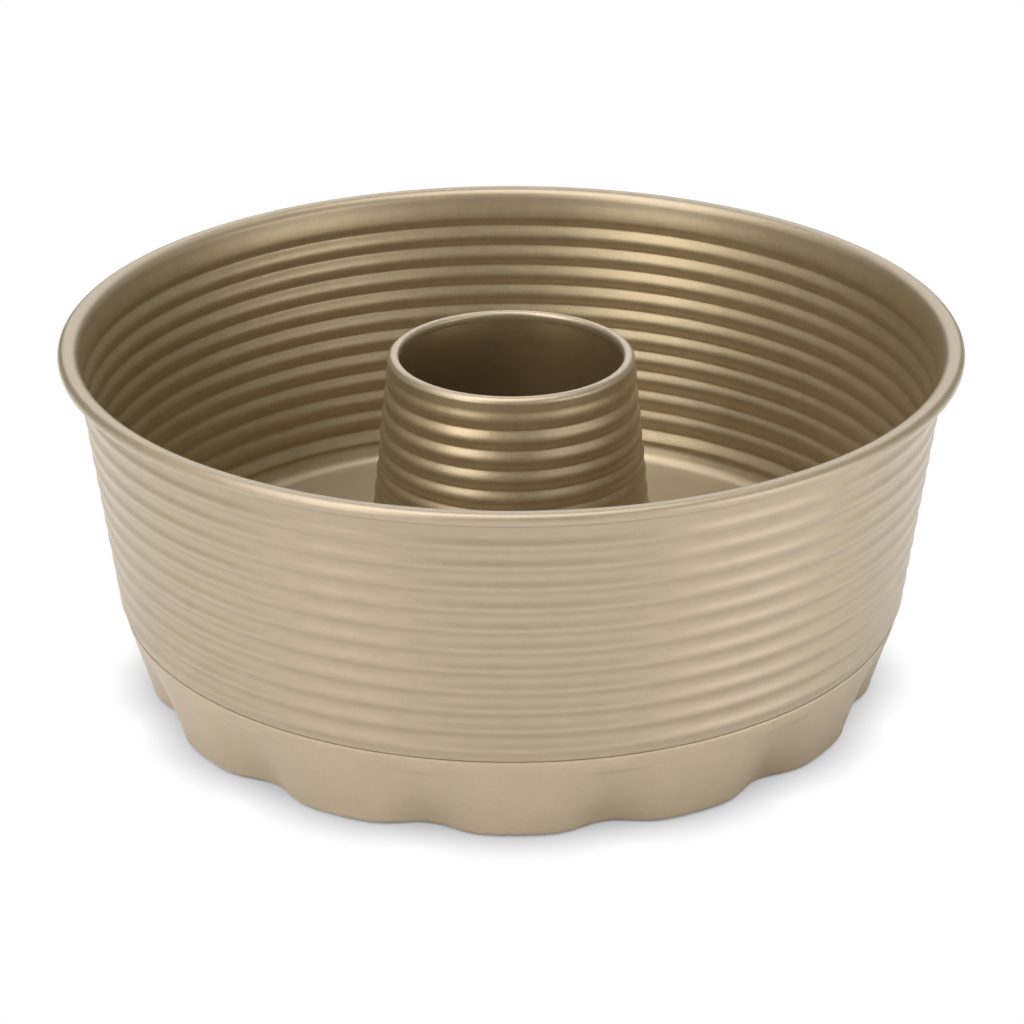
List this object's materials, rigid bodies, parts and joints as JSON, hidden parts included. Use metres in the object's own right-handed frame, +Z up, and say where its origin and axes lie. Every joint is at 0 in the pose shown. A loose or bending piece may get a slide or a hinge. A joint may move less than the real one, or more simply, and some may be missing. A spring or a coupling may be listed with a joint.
{
  "type": "tube cake pan",
  "caption": "Round cake pan with a ribbed flared wall, a wired rim, an open centre tube and a scalloped base cup, in a champagne non-stick coating.",
  "frame": {"origin": "centre of the base on the table", "axes": "+Z up along the centre tube, -Y towards the front of the picture"},
  "size_m": [0.25, 0.25, 0.1025],
  "materials": {
    "champagne_coating": "satin metallic non-stick",
    "steel_wire": "drawn wire"
  },
  "bodies": {
    "root": {"pan_shell": "champagne_coating", "base_shell": "champagne_coating", "tube_shell": "champagne_coating", "tube_liner": "champagne_coating", "rim_wire": "steel_wire"}
  },
  "joints": []
}
